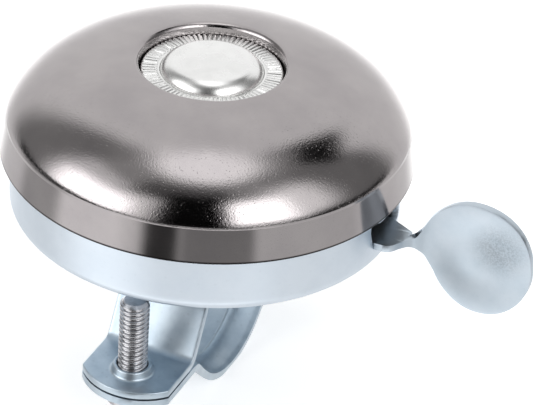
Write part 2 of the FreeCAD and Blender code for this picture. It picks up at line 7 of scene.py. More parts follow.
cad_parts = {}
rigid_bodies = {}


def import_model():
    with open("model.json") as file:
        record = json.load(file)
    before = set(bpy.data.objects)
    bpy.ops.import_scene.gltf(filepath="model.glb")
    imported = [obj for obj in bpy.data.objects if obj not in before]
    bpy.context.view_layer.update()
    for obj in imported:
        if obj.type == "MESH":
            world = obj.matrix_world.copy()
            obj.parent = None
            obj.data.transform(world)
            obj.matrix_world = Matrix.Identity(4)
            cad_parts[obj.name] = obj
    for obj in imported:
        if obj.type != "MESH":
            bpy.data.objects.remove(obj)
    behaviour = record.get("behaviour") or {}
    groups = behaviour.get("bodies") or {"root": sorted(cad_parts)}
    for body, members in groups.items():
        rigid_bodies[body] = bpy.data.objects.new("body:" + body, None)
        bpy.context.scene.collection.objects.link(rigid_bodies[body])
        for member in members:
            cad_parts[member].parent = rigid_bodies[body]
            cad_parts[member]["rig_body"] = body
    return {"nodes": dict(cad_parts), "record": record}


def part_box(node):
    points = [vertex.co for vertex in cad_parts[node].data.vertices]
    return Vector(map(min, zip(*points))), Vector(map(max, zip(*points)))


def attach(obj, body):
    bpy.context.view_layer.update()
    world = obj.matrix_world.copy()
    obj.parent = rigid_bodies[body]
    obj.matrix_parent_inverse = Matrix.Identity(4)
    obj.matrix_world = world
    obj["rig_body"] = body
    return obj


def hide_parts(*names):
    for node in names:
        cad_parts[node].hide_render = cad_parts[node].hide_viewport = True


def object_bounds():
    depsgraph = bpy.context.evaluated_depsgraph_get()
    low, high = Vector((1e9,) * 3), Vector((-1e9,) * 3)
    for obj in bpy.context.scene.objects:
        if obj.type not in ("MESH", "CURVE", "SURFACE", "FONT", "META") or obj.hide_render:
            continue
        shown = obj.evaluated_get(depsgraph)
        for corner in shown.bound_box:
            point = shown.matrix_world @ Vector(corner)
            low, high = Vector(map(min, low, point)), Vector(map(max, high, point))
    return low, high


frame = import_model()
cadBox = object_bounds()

# Lever bell with a two-ear handlebar clamp. Shapes are worked out in millimetres and
# written to the meshes in metres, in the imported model's frame.
millimetre = 0.001
scene = bpy.context.scene
scene.view_settings.view_transform = "Standard"
print("frame loaded:", len(frame["nodes"]), "nodes")


def cadSize(node):
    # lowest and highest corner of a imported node, in millimetres
    low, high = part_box(node)
    return np.array(low) * 1000, np.array(high) * 1000


# ---- shapes ----
def roundedPath(corners, closed=True, spacing=0.12):
    # every corner (x, y, radius) is swapped for an arc tangent to its two neighbours, or for a
    # smaller one where a neighbour is too near
    points = []
    for i, (x, y, radius) in enumerate(corners):
        here = np.array((x, y), float)
        if radius == 0 or (not closed and i in (0, len(corners) - 1)):
            points.append(here[None])
            continue
        back = np.array(corners[i - 1][:2]) - here
        ahead = np.array(corners[(i + 1) % len(corners)][:2]) - here
        room = 0.97 * min(np.hypot(*back), np.hypot(*ahead))
        back, ahead = back / np.hypot(*back), ahead / np.hypot(*ahead)
        half = np.arccos(np.clip(back @ ahead, -1, 1)) / 2
        cut = min(radius / np.tan(half), room)
        radius = cut * np.tan(half)
        middle = back + ahead
        centre = here + middle / np.hypot(*middle) * radius / np.sin(half)
        first, last = here + back * cut - centre, here + ahead * cut - centre
        start = np.arctan2(first[1], first[0])
        sweep = (np.arctan2(last[1], last[0]) - start + np.pi) % (2 * np.pi) - np.pi
        steps = int(np.clip(abs(sweep) * radius / spacing, 4, 48)) + 1
        angle = start + sweep * np.linspace(0, 1, steps)
        points.append(centre + radius * np.column_stack((np.cos(angle), np.sin(angle))))
    return np.vstack(points)


def gridFaces(rows, columns, wrapRows=False, wrapColumns=False):
    # quads of a grid, row by row; the outward side is (next row) x (next column)
    i = np.arange(rows if wrapRows else rows - 1)[:, None]
    j = np.arange(columns if wrapColumns else columns - 1)[None]
    nextI, nextJ = (i + 1) % rows, (j + 1) % columns
    corners = (i * columns + j, nextI * columns + j, nextI * columns + nextJ, i * columns + nextJ)
    return np.stack([np.broadcast_to(c, (i.size, j.size)) for c in corners], -1).reshape(-1, 4)


def turned(profile, steps, shift=(0, 0)):
    # a closed outline (radius, height) carried round the Z axis
    r, z = profile.T
    if np.sum(r * np.roll(z, -1) - np.roll(r, -1) * z) < 0:
        r, z = r[::-1], z[::-1]
    angle = np.linspace(0, 2 * np.pi, steps, endpoint=False)[:, None]
    points = np.stack((r * np.cos(angle) + shift[0], r * np.sin(angle) + shift[1],
                       z + 0 * angle), -1)
    return points, gridFaces(steps, len(r), True, True)


def smoothStep(value, low, high):
    # 0 below low, 1 above high, and 3 s^2 - 2 s^3 of the share s between them
    share = np.clip((value - low) / (high - low), 0, 1)
    return share * share * (3 - 2 * share)


# distances in metres, angle in degrees
joining = {"weldDistance": 2e-6, "thinEdge": 1e-6, "bevelSegments": 3, "bevelAngle": 38.0}


def makePiece(name, parts, material, body, slot, nodes, solid=0, bevel=0, offset=0):
    # joins grids of points into one mesh, closes seams and poles, then adds wall and edge rounding
    points, quads, count = [], [], 0
    for grid, cellFaces in parts:
        flat = np.asarray(grid, float).reshape(-1, 3)
        points.append(flat)
        quads.append(np.asarray(cellFaces) + count)
        count += len(flat)
    mesh = bpy.data.meshes.new(name)
    polygons = [face for group in quads for face in group.tolist()]
    mesh.from_pydata((np.vstack(points) * millimetre).tolist(), [], polygons)
    shape = bmesh.new()
    shape.from_mesh(mesh)
    bmesh.ops.remove_doubles(shape, verts=shape.verts, dist=joining["weldDistance"])
    bmesh.ops.dissolve_degenerate(shape, edges=shape.edges, dist=joining["thinEdge"])
    if not solid and shape.calc_volume(signed=True) < 0:
        bmesh.ops.reverse_faces(shape, faces=shape.faces)
    for face in shape.faces:
        face.smooth = True
    shape.to_mesh(mesh)
    shape.free()
    piece = bpy.data.objects.new(name, mesh)
    scene.collection.objects.link(piece)
    mesh.materials.append(material)
    if solid:
        wall = piece.modifiers.new("wall", "SOLIDIFY")
        wall.thickness = solid * millimetre
        wall.offset = offset
        wall.use_even_offset = True
    if bevel:
        edge = piece.modifiers.new("edge", "BEVEL")
        edge.width = bevel * millimetre
        edge.segments = joining["bevelSegments"]
        edge.limit_method = "ANGLE"
        edge.angle_limit = np.radians(joining["bevelAngle"])
    even = piece.modifiers.new("evenShading", "WEIGHTED_NORMAL")
    even.keep_sharp = True
    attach(piece, body)
    if nodes:
        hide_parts(*nodes)
    return piece


# ---- materials ----
def linear(hexCode):
    # sRGB hex to the linear colour that a shader socket takes
    values = np.array([int(hexCode[i:i + 2], 16) for i in (1, 3, 5)]) / 255
    return (*np.where(values <= 0.04045, values / 12.92, ((values + 0.055) / 1.055) ** 2.4), 1.0)


def addNode(tree, kind, inputs=None, stops=None, **settings):
    # adds a node; inputs may be plain values or sockets to link from, and stops are a ramp's
    # places with their hex colours
    node = tree.nodes.new(kind)
    for key, value in settings.items():
        setattr(node, key, value)
    for key, value in (inputs or {}).items():
        if isinstance(value, bpy.types.NodeSocket):
            tree.links.new(value, node.inputs[key])
        else:
            node.inputs[key].default_value = value
    if stops:
        ramp = node.color_ramp
        while len(ramp.elements) < len(stops):
            ramp.elements.new(0.5)
        for element, (place, colour) in zip(ramp.elements, stops):
            element.position = place
            element.color = linear(colour)
    return node


# What every finish has unless it says otherwise. Sizes are in millimetres, and a span is the
# stretch of a pattern that is used. Grain finer than about 0.2 mm wouldn't show, so it is drawn
# at 0.15 to 0.3 mm.
# painted shadow lines and a painted dark reflection are off unless a finish turns them on
commonFinish = {"cloudSpan": (0.34, 0.66), "roughSpan": (0.3, 0.7), "speckSize": 1.2, "speckTone": 0.9,
                "speckSpan": (0.05, 0.22), "pitDepth": 1.0, "grainFade": (-0.1, 0.2),
                "polishedGrain": 0.08, "paintedShadowLines": (), "paintedShadowTone": 0.02, "paintedReflectionSpan": (0.38, 0.62),
                "paintedReflectionSpread": 0.2, "paintedReflectionCore": 0.2}


def metal(name, finish):
    # A plated or bare metal: cloudy colour between two tones, a fine grain and small pits in the
    # height, and roughness that wanders between two values. Where the finish asks for them, it
    # also has lines drawn one way, a polished lower part, painted shadow lines and a painted dark
    # reflection.
    finish = {**commonFinish, **finish}
    material = bpy.data.materials.new(name)
    material.use_nodes = True
    tree = material.node_tree
    tree.nodes.clear()
    place = addNode(tree, "ShaderNodeTexCoord").outputs["Object"]
    cloud = addNode(tree, "ShaderNodeTexNoise", {
        "Vector": place, "Scale": 1000 / finish["cloudSize"], "Detail": 4.0,
        "Roughness": 0.55}).outputs["Fac"]
    tones = zip(finish["cloudSpan"], (finish["darkTone"], finish["lightTone"]))
    tone = addNode(tree, "ShaderNodeValToRGB", {"Fac": cloud}, stops=list(tones)).outputs["Color"]
    grain = addNode(tree, "ShaderNodeTexNoise", {
        "Vector": place, "Scale": 1000 / finish["grainSize"], "Detail": 3.0,
        "Roughness": 0.6}).outputs["Fac"]
    height = grain
    if "lineStretch" in finish:
        drawn = addNode(tree, "ShaderNodeMapping", {"Vector": place, "Scale": finish["lineStretch"]})
        lines = addNode(tree, "ShaderNodeTexNoise", {
            "Vector": drawn.outputs["Vector"], "Scale": 1000 / finish["lineSize"],
            "Detail": 2.0}).outputs["Fac"]
        height = addNode(tree, "ShaderNodeMath", {0: lines, 1: finish["lineShare"], 2: grain},
                         operation="MULTIPLY_ADD").outputs["Value"]
    speck = addNode(tree, "ShaderNodeTexVoronoi", {
        "Vector": place, "Scale": 1000 / finish["speckSize"]}).outputs["Distance"]
    dots = addNode(tree, "ShaderNodeMapRange", {
        "Value": speck, "From Min": finish["speckSpan"][0], "From Max": finish["speckSpan"][1],
        "To Min": finish["speckTone"], "To Max": 1.0}).outputs["Result"]
    shade = addNode(tree, "ShaderNodeMix", {0: 1.0, 6: tone, 7: dots}, data_type="RGBA",
                    blend_type="MULTIPLY").outputs[2]
    height = addNode(tree, "ShaderNodeMath", {0: dots, 1: finish["pitDepth"], 2: height},
                     operation="MULTIPLY_ADD").outputs["Value"]
    axes = addNode(tree, "ShaderNodeSeparateXYZ", {"Vector": place})
    if "grainAbove" in finish:
        # the pressing is polished below this height and keeps its orange peel above it
        fadeLow, fadeHigh = (finish["grainAbove"] + step for step in finish["grainFade"])
        mask = addNode(tree, "ShaderNodeMapRange", {
            "Value": axes.outputs["Z"], "From Min": fadeLow * millimetre,
            "From Max": fadeHigh * millimetre, "To Min": finish["polishedGrain"]}).outputs["Result"]
        height = addNode(tree, "ShaderNodeMath", {0: height, 1: mask},
                         operation="MULTIPLY").outputs["Value"]
    for level, halfWidth in finish["paintedShadowLines"]:
        # a thin dark line painted as shade along one height, for the shadow in the gap under the rim
        off = addNode(tree, "ShaderNodeMath", {0: axes.outputs["Z"], 1: level * millimetre},
                      operation="SUBTRACT").outputs["Value"]
        off = addNode(tree, "ShaderNodeMath", {0: off}, operation="ABSOLUTE").outputs["Value"]
        line = addNode(tree, "ShaderNodeMapRange", {
            "Value": off, "From Min": halfWidth * 0.5 * millimetre, "From Max": halfWidth * millimetre,
            "To Min": finish["paintedShadowTone"], "To Max": 1.0}).outputs["Result"]
        shade = addNode(tree, "ShaderNodeMix", {0: 1.0, 6: shade, 7: line}, data_type="RGBA",
                        blend_type="MULTIPLY").outputs[2]
    if "paintedReflection" in finish:
        # a grainy dark reflection painted into the colour of the paddle: middle, radius and darkest tone
        centre, radius, darkest = finish["paintedReflection"]
        away = addNode(tree, "ShaderNodeVectorMath", {0: place, 1: np.array(centre) * millimetre},
                       operation="DISTANCE").outputs["Value"]
        core = finish["paintedReflectionCore"] * radius
        patch = addNode(tree, "ShaderNodeMapRange", {
            "Value": away, "From Min": radius * millimetre, "From Max": core * millimetre},
            interpolation_type="SMOOTHSTEP").outputs["Result"]
        reflectionGrain = addNode(tree, "ShaderNodeMapRange", {
            "Value": grain, "From Min": finish["paintedReflectionSpan"][0], "From Max": finish["paintedReflectionSpan"][1],
            "To Min": darkest, "To Max": darkest + finish["paintedReflectionSpread"]}).outputs["Result"]
        reflectionDarkened = addNode(tree, "ShaderNodeMix", {0: 1.0, 6: shade, 7: reflectionGrain}, data_type="RGBA",
                         blend_type="MULTIPLY").outputs[2]
        shade = addNode(tree, "ShaderNodeMix", {0: patch, 6: shade, 7: reflectionDarkened},
                        data_type="RGBA").outputs[2]
    rough = addNode(tree, "ShaderNodeMapRange", {
        "Value": cloud, "From Min": finish["roughSpan"][0], "From Max": finish["roughSpan"][1],
        "To Min": finish["roughness"][0], "To Max": finish["roughness"][1]}).outputs["Result"]
    bump = addNode(tree, "ShaderNodeBump", {
        "Height": height, "Strength": finish["bump"],
        "Distance": finish["grainHeight"] * millimetre}).outputs["Normal"]
    shader = addNode(tree, "ShaderNodeBsdfPrincipled", {
        "Base Color": shade, "Metallic": 1.0, "Roughness": rough, "Normal": bump})
    addNode(tree, "ShaderNodeOutputMaterial", {"Surface": shader.outputs["BSDF"]})
    return material


finishes = {
    # black nickel over pressed steel: warm grey mirror with a little orange peel and fine pits,
    # polished on the band, with a painted shadow line along the rim's lower edge
    "blackNickelSatin": dict(darkTone="#A8A3A4", lightTone="#B3AEAE", cloudSize=9.0, grainSize=0.26,
                             grainHeight=0.015, bump=0.9, roughness=(0.1, 0.15), speckSize=0.42,
                             speckTone=0.9, pitDepth=6.0, grainAbove=25.2, paintedShadowLines=((20.5, 0.36),)),
    # bright nickel over turned brass: nearly white, softly polished, with a faint grain
    "brightNickel": dict(darkTone="#EDEDEC", lightTone="#F7F7F6", cloudSize=3.0, grainSize=0.25,
                         grainHeight=0.006, bump=0.25, roughness=(0.24, 0.3), speckTone=0.97),
    # blue-passivated zinc on pressed sheet: pale cold blue with soft clouds
    "bluePassivatedZinc": dict(darkTone="#D6E0EA", lightTone="#E0E9F2", cloudSize=6.0, grainSize=0.3,
                               grainHeight=0.01, bump=0.3, roughness=(0.34, 0.4), speckTone=0.97),
    # the same zinc on the stamped lever, a little darker, with a grainy dark reflection painted
    # on the paddle's face
    "stampedLeverZinc": dict(darkTone="#BBC7D1", lightTone="#C8D2DB", cloudSize=4.0, grainSize=0.22,
                             grainHeight=0.01, bump=0.35, roughness=(0.29, 0.34), speckSize=0.7,
                             speckTone=0.96, paintedReflection=((41.5, 1.0, 17.3), 5.2, 0.6)),
    # the same zinc on the clamp, darker and bluer, with faint lines along the straps
    "drawnClampZinc": dict(darkTone="#AFBECA", lightTone="#CCD8E1", cloudSize=4.0, grainSize=0.3,
                           grainHeight=0.012, bump=0.45, roughness=(0.36, 0.42), lineSize=0.5,
                           lineShare=0.7, lineStretch=(1.0, 0.08, 0.08), speckTone=0.9),
    # clear zinc on rolled screws: light grey and rather glossy, with dark specks
    "rolledScrewZinc": dict(darkTone="#A7A7AA", lightTone="#CDCDD0", cloudSize=1.6, grainSize=0.2,
                            grainHeight=0.01, bump=0.4, roughness=(0.16, 0.26), speckTone=0.85),
    # plain rivet steel with a thin film of oil: dull mid grey
    "rivetSteel": dict(darkTone="#8F8F90", lightTone="#B4B3B2", cloudSize=1.8, grainSize=0.2,
                       grainHeight=0.01, bump=0.4, roughness=(0.28, 0.42), speckTone=0.85),
    # blanked steel of the mechanism: darker and duller, with rolling lines
    "blankedSteel": dict(darkTone="#7E8083", lightTone="#A3A5A7", cloudSize=3.0, grainSize=0.25,
                         grainHeight=0.01, bump=0.4, roughness=(0.3, 0.44), lineSize=0.4,
                         lineShare=0.6, lineStretch=(0.1, 1.0, 1.0), speckTone=0.88),
    # drawn music wire and spring strip: dark blue-grey with a soft gloss
    "springSteel": dict(darkTone="#5F6468", lightTone="#868B90", cloudSize=1.0, grainSize=0.15,
                        grainHeight=0.006, bump=0.3, roughness=(0.22, 0.34), speckTone=0.9),
    # hobbed brass of the gears: warm yellow, satin from the cutter
    "hobbedBrass": dict(darkTone="#B79A55", lightTone="#D9BF7C", cloudSize=2.2, grainSize=0.2,
                        grainHeight=0.008, bump=0.35, roughness=(0.24, 0.36), speckTone=0.88),
    # tumbled steel of the washers that strike the gong: even light grey, lightly pitted
    "tumbledSteel": dict(darkTone="#9A9A9C", lightTone="#BFBFC0", cloudSize=1.5, grainSize=0.3,
                         grainHeight=0.015, bump=0.4, roughness=(0.2, 0.32), speckTone=0.86),
}
metals = {name: metal(name, finish) for name, finish in finishes.items()}
print("materials:", ", ".join(sorted(metals)))

slotMetals = {"gong_nickel": "blackNickelSatin", "bright_nickel": "brightNickel",
              "blue_zinc": "bluePassivatedZinc", "lever_zinc": "stampedLeverZinc",
              "clamp_zinc": "drawnClampZinc", "screw_steel": "rolledScrewZinc",
              "rivet_steel": "rivetSteel", "inner_steel": "blankedSteel",
              "spring_steel": "springSteel", "gear_brass": "hobbedBrass",
              "washer_steel": "tumbledSteel"}
nodeSlots = {part["node"]: part["material_slot"] for part in frame["record"]["subparts"]}
nodeBodies = {name: node["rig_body"] for name, node in frame["nodes"].items()}
for name, node in frame["nodes"].items():
    node.data.materials.clear()
    node.data.materials.append(metals[slotMetals[nodeSlots[name]]])


def replaceNode(node, parts, **settings):
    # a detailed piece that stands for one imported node, on its body and with its finish
    slot = nodeSlots[node]
    return makePiece(node + "_detail", parts, metals[slotMetals[slot]], nodeBodies[node], slot,
                     (node,), **settings)


# ---- gong, nut and cap ----
gongLow, gongHigh = cadSize("gong")
nutLow, nutHigh = cadSize("centre_nut")
capLow, capHigh = cadSize("nut_cap")
gong = {"wall": 1.0, "domeRadius": 27.57, "domeHeight": 14.57, "domePower": 2.63, "domeDrop": 0.73,
        "bandHeight": 4.5, "edgeDrop": 0.12, "edgeRounds": (0.2, 0.3), "bendHeight": 1.0,
        "bendFrom": 24.0, "bendTo": 14.6, "bendSteps": 7, "lipRadius": 9.75, "lipStart": 0.75,
        "lipRise": 0.03, "lipRound": 0.7, "lipDepth": 1.4, "recessRadius": 9.5,
        "recessRounds": (0.5, 0.7), "boreRadius": 2.1, "innerStart": 0.8, "innerDrop": 0.5,
        "innerBandStep": 0.3, "innerRound": 0.3, "domeSteps": (72, 40), "turnSteps": 320}


def domePoints(startRadius, endHeight, inset, steps):
    # superellipse (r/a)^n + (h/b)^n = 1, stepped evenly in angle from the crown to the band
    a, b, n = gong["domeRadius"] - inset, gong["domeHeight"] - inset, gong["domePower"]
    topHeight = b * (1 - (startRadius / a) ** n) ** (1 / n)
    lowHeight = endHeight + gong["domeDrop"]
    lowRadius = a * (1 - (lowHeight / b) ** n) ** (1 / n)
    angle = np.linspace(np.arctan2(topHeight, startRadius), np.arctan2(lowHeight, lowRadius), steps)
    reach = ((np.cos(angle) / a) ** n + (np.sin(angle) / b) ** n) ** (-1 / n)
    return np.column_stack((reach * np.cos(angle), rim - gong["domeDrop"] + reach * np.sin(angle)))


rim = gongLow[2]
outerRadius = gongHigh[0]
recessFloor = nutLow[2]
crownLow = recessFloor - gong["wall"]
rimEdge = rim - gong["edgeDrop"]
innerRadius = gong["recessRadius"] + gong["wall"]
outside = domePoints(gong["lipRadius"] + gong["lipStart"], gong["bandHeight"] + gong["bendHeight"], 0,
                     gong["domeSteps"][0])
inside = domePoints(innerRadius + gong["innerStart"], gong["bandHeight"] - gong["innerBandStep"],
                    gong["wall"], gong["domeSteps"][1])
# the last of the dome steepens step by step until it meets the band in a plain crease
tilt = np.radians(np.linspace(gong["bendFrom"], gong["bendTo"], gong["bendSteps"]))
fall = gong["bendHeight"] / len(tilt)
bend = np.column_stack((outside[-1][0] + np.cumsum(fall * np.tan(tilt)),
                        outside[-1][1] - fall * np.arange(1, len(tilt) + 1)))
lipTop = outside[0][1]
corners = [(outerRadius - gong["wall"], rimEdge, gong["edgeRounds"][0]),
           (outerRadius, rimEdge, gong["edgeRounds"][1])]
corners += [(r, z, 0) for r, z in np.vstack((outside, bend))[::-1]]
corners += [(gong["lipRadius"], lipTop + gong["lipRise"], gong["lipRound"]),
            (gong["recessRadius"], lipTop - gong["lipDepth"], gong["recessRounds"][0]),
            (gong["recessRadius"], recessFloor, gong["recessRounds"][1]),
            (gong["boreRadius"], recessFloor, 0), (gong["boreRadius"], crownLow, 0),
            (innerRadius, crownLow, gong["innerRound"]),
            (innerRadius, inside[0][1] - gong["innerDrop"], gong["innerRound"])]
corners += [(r, z, 0) for r, z in inside]
replaceNode("gong", [turned(roundedPath(corners, spacing=0.05), gong["turnSteps"])])

nut = {"teeth": 84, "samplesPerTooth": 12, "grooveDepth": 0.2, "seed": 7, "overhang": 0.12,
       "boreRadius": 2.0, "footRound": 0.1, "edgeRound": 0.22, "landGap": 0.45, "stepGap": 0.3,
       "capGap": 0.05, "stepDepth": 0.12, "stepRound": 0.05, "depthWander": (0.45, 1.0),
       "widthWander": (0.22, 0.34), "topFade": (0.25, 0.05), "capFade": (0.36, 0.5),
       "sideFade": (1.0, 0.3), "edgeFade": (0.4, 0.1)}
nutRadius, nutTop = nutHigh[0] + nut["overhang"], nutHigh[2]
capSeat, capRadius = capLow[2], capHigh[0]
# the toothed top ends at the land's inner radius and steps down towards the cap
landRadius, stepRadius, wellRadius = (capRadius + nut[gap] for gap in ("landGap", "stepGap", "capGap"))
stepFloor = nutTop - nut["stepDepth"]
profile = roundedPath([(nut["boreRadius"], recessFloor, 0), (nutRadius, recessFloor, nut["footRound"]),
                       (nutRadius, nutTop, nut["edgeRound"]), (landRadius, nutTop, 0),
                       (stepRadius, stepFloor, nut["stepRound"]), (wellRadius, stepFloor, nut["stepRound"]),
                       (wellRadius, capSeat, 0), (nut["boreRadius"], capSeat, 0)], spacing=0.05)
topRadii = np.linspace(nutRadius - nut["edgeRound"], landRadius, 8)
topRow = np.column_stack((topRadii, np.full(len(topRadii), nutTop)))
split = int(np.argmax(profile[:, 1] >= nutTop - 1e-6)) + 1
profile = np.vstack((profile[:split], topRow[1:-1], profile[split:]))
points, quads = turned(profile, nut["teeth"] * nut["samplesPerTooth"])
# each groove is a shallow smooth valley; its depth and width wander a little from tooth to tooth
chance = np.random.default_rng(nut["seed"])
angle = np.arctan2(points[..., 1], points[..., 0])
turn = (angle / (2 * np.pi) * nut["teeth"]) % nut["teeth"]
tooth = np.round(turn).astype(int) % nut["teeth"]
depth = nut["grooveDepth"] * chance.uniform(*nut["depthWander"], nut["teeth"])[tooth]
width = chance.uniform(*nut["widthWander"], nut["teeth"])[tooth]
away = np.abs(turn - np.round(turn))
valley = 1 - smoothStep(away, 0.3 * width, width)
radius = np.hypot(points[..., 0], points[..., 1])
onTop = (smoothStep(points[..., 2], *(nutTop - np.array(nut["topFade"])))
         * smoothStep(radius, *(capRadius + np.array(nut["capFade"]))))
points[..., 2] -= depth * onTop * valley
notch = (smoothStep(points[..., 2], *(nutTop - np.array(nut["sideFade"])))
         * smoothStep(radius, *(nutRadius - np.array(nut["edgeFade"]))))
points[..., :2] *= (1 - depth * valley * notch / nutRadius)[..., None]
replaceNode("centre_nut", [(points, quads)])

# low button: the surface's tilt grows slowly over the top, then evenly round the shoulder
cap = {"topTilt": 4.0, "sideTilt": 70.0, "topShare": 0.62, "steps": 90, "hollowRadius": 2.2,
       "hollowDepth": 1.1, "footRound": 0.06}
tilt = np.radians(np.interp(np.linspace(0, 1, cap["steps"]), (0, cap["topShare"], 1),
                            (0, cap["topTilt"], cap["sideTilt"])))
reach, drop = (np.concatenate(([0], np.cumsum(part))) for part in (np.cos(tilt), np.sin(tilt)))
drop, reach = drop * capRadius / reach[-1], reach * capRadius / reach[-1]
hollowTop = capSeat + cap["hollowDepth"]
corners = [(0, hollowTop, 0), (cap["hollowRadius"], hollowTop, 0), (cap["hollowRadius"], capSeat, 0),
           (capRadius, capSeat, cap["footRound"])]
corners += [(r, capHigh[2] - z, 0) for r, z in zip(reach[::-1], drop[::-1])]
replaceNode("nut_cap", [turned(roundedPath(corners, spacing=0.05), 192)])
print("gong, nut and cap made")


# ---- pan ----
panLow, panHigh = cadSize("base_pan")
pan = {"sheet": 0.9, "corner": 1.6, "bevel": 0.14, "lift": 0.02, "slotFront": -3.85,
       "slotBack": 5.8, "slotLow": 14.8, "slotHigh": 18.4, "slotRound": 0.9, "foldLow": 15.4,
       "foldHigh": 18.8, "foldReach": 2.7, "foldAngle": 22.0, "foldFade": (0.2, 1.6),
       "foldFrom": -18.0, "patchAngles": (-10.4, 15.0), "patchHeights": (14.2, 19.2),
       "slotSteps": 22, "foldSteps": 13, "restSteps": 230, "heightSteps": 15, "floorSteps": 7,
       "ringSteps": 7}
panRadius, panTop = panHigh[1], panHigh[2]
floorLow = panLow[2] + pan["lift"]


def panPoints(angle, radius, height):
    # wall of revolution; beside the lever's slot its corner is folded inwards past a slanting line
    edgeAngle = np.arcsin(pan["slotFront"] / panRadius)
    rise = pan["foldHigh"] - pan["foldLow"]
    arc = (angle - edgeAngle) * panRadius
    past = arc * rise + (height - pan["foldLow"]) * pan["foldReach"]
    beyond = past / np.hypot(rise, pan["foldReach"])
    fade = 1 - smoothStep(arc, *pan["foldFade"])
    onWall = (radius > panRadius - 0.01) & (np.abs(angle) < 1)
    folded = radius - np.maximum(beyond, 0) * np.tan(np.radians(pan["foldAngle"])) * fade * onWall
    return np.stack((folded * np.cos(angle), folded * np.sin(angle), height + 0 * angle), -1)


# the wall's angles: fine beside the fold and round the slot, even for the rest
patchStart, patchEnd = pan["patchAngles"]
patchLow, patchHigh = pan["patchHeights"]
slotAngles = np.radians(np.linspace(patchStart, patchEnd, pan["slotSteps"]))
denseAngles = np.radians(np.linspace(pan["foldFrom"], patchStart, pan["foldSteps"]))[:-1]
restAngles = np.radians(np.linspace(patchEnd, pan["foldFrom"] + 360, pan["restSteps"]))[1:-1]
wallAngles = np.concatenate((denseAngles, slotAngles, restAngles, [denseAngles[0] + 2 * np.pi]))
slotHeights = np.linspace(patchLow, patchHigh, pan["heightSteps"])
under = roundedPath([(0, floorLow, 0), (panRadius, floorLow, pan["corner"]), (panRadius, patchLow, 0)],
                    closed=False)
floorRadii = np.linspace(0, under[1][0], pan["floorSteps"] + 1)[:-1]
underRadii = np.concatenate((floorRadii, under[1:, 0]))
underHeights = np.concatenate((np.full(pan["floorSteps"], floorLow), under[1:, 1]))
wallRadius = np.array([[panRadius]])
bottom = panPoints(wallAngles[:, None], underRadii[None], underHeights[None])
above = panPoints(wallAngles[:, None], wallRadius, np.linspace(patchHigh, panTop, 4)[None])
beside = np.concatenate((slotAngles[-1:], restAngles, wallAngles[-1:], denseAngles[1:] + 2 * np.pi,
                         slotAngles[:1] + 2 * np.pi))
walls = panPoints(beside[:, None], wallRadius, slotHeights[None])
# ring of points from the slot's rounded opening out to the patch's square border
across = np.linspace(-1, 1, len(slotAngles))
upward = np.linspace(-1, 1, len(slotHeights))
border = np.vstack((np.column_stack((across, -1 + 0 * across)),
                    np.column_stack((1 + 0 * upward, upward))[1:],
                    np.column_stack((across[::-1], 1 + 0 * across))[1:],
                    np.column_stack((-1 + 0 * upward, upward[::-1]))[1:-1]))
patchMiddle = np.array(((slotAngles[0] + slotAngles[-1]) / 2 * panRadius, (patchLow + patchHigh) / 2))
patchHalf = np.array(((slotAngles[-1] - slotAngles[0]) / 2 * panRadius, (patchHigh - patchLow) / 2))
slotSides = np.arcsin(np.array((pan["slotFront"], pan["slotBack"])) / panRadius) * panRadius
slotMiddle = np.array((slotSides.mean(), (pan["slotLow"] + pan["slotHigh"]) / 2))
slotHalf = np.array((np.ptp(slotSides) / 2, (pan["slotHigh"] - pan["slotLow"]) / 2))
square = border * slotHalf
core = np.clip(square, -(slotHalf - pan["slotRound"]), slotHalf - pan["slotRound"])
spoke = square - core
opening = slotMiddle + core + pan["slotRound"] * spoke / np.hypot(*spoke.T)[:, None]
outer = patchMiddle + border * patchHalf
share = np.linspace(0, 1, pan["ringSteps"])[None, :, None]
ring = opening[:, None] * (1 - share) + outer[:, None] * share
patch = panPoints(ring[..., 0] / panRadius, panRadius, ring[..., 1])
replaceNode("base_pan", [
    (bottom, gridFaces(*bottom.shape[:2])),
    (above, gridFaces(*above.shape[:2])),
    (walls, gridFaces(*walls.shape[:2])),
    (patch, gridFaces(*patch.shape[:2], wrapRows=True)[:, ::-1])],
    solid=pan["sheet"], offset=-1, bevel=pan["bevel"])
print("pan made")

# ---- clamp ----
clamp = {"halfWidth": 6.3, "sheet": 1.0, "bevel": 0.16, "earTop": -2.45, "earGap": 0.2,
         "earCorner": 22.6, "earLength": 25.65, "screwReach": 20.6, "holeRadius": 2.02,
         "strapHole": 2.25, "seat": 11.15, "legReach": 11.15, "flareTop": 4.3, "flareLean": 0.545,
         "footBend": 1.8, "kneeBend": 6.0, "shoulderBend": 1.6, "troughHalf": 56.0,
         "ribHeight": 0.5, "ribFlank": (1.5, 2.0), "ribEnds": (7.4, 8.4), "flangeStart": 2.4,
         "flangeLift": 0.95, "flangeHalf": 44.0, "waist": 0.12, "waistEnds": (9.0, 14.5)}
# drawn collar round each tapped hole: a cone with a soft foot and a rounded mouth, as
# (radius, height over the ear, rounding)
clamp["collar"] = ((2.04, -0.9, 0), (3.5, -0.4, 0), (3.3, -0.02, 0.1), (2.78, 0.04, 0.4),
                   (2.5, 1.1, 0.2), (2.08, 1.1, 0.12))
# steps across half the width, close together where the rib's flanks and the rolled edge are
halfSteps = np.array((0, 0.5, 1.0, 1.35, 1.55, 1.7, 1.85, 2.0, 2.2, 2.6, 3.3, 4.2, 5.1, 5.8, 6.3))
widthSteps = np.concatenate((-halfSteps[:0:-1], halfSteps))


